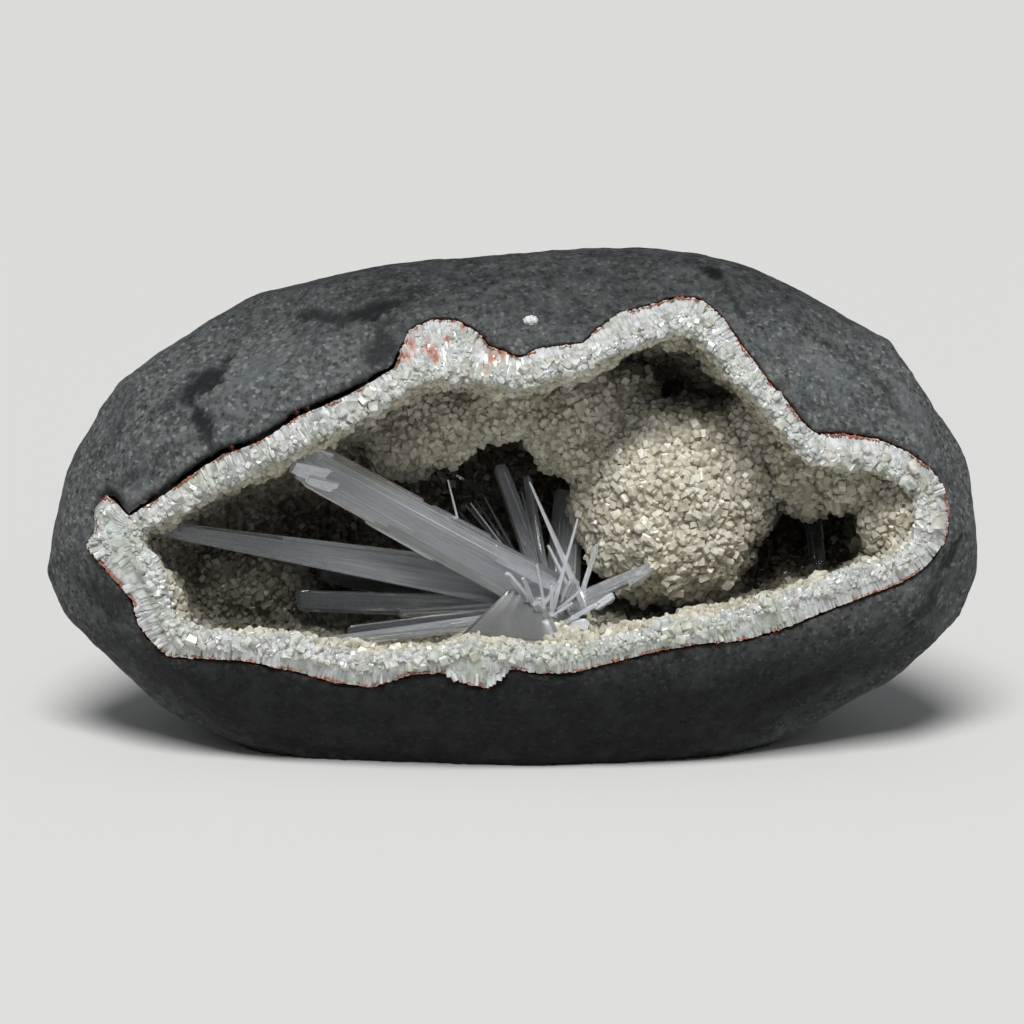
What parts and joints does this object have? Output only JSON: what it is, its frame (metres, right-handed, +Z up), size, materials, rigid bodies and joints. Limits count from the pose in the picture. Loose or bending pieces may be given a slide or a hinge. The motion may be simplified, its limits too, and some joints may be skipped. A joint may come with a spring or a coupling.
{
  "type": "scolecite geode",
  "caption": "Hewn basalt nodule standing on a flat cut, its open mouth lined with a crust of small zeolite crystals from which clear scolecite blades radiate.",
  "frame": {"origin": "centre of the stone's box on the surface that it stands on", "axes": "+X to the right along the stone as seen facing the mouth, +Y into the stone, away from the mouth, +Z up"},
  "size_m": [0.3, 0.1442, 0.1582],
  "materials": {
    "basalt": "matt, hewn",
    "crust": "sparkling, fine crystals",
    "scolecite": "clear, finely striated lengthwise",
    "bead": "satin"
  },
  "bodies": {
    "root": {"basalt_shell": "basalt", "crystal_crust": "crust", "scolecite_spray": "scolecite", "scolecite_back_needles": "scolecite", "scolecite_deep_blade": "scolecite", "amygdule": "bead"}
  },
  "joints": []
}
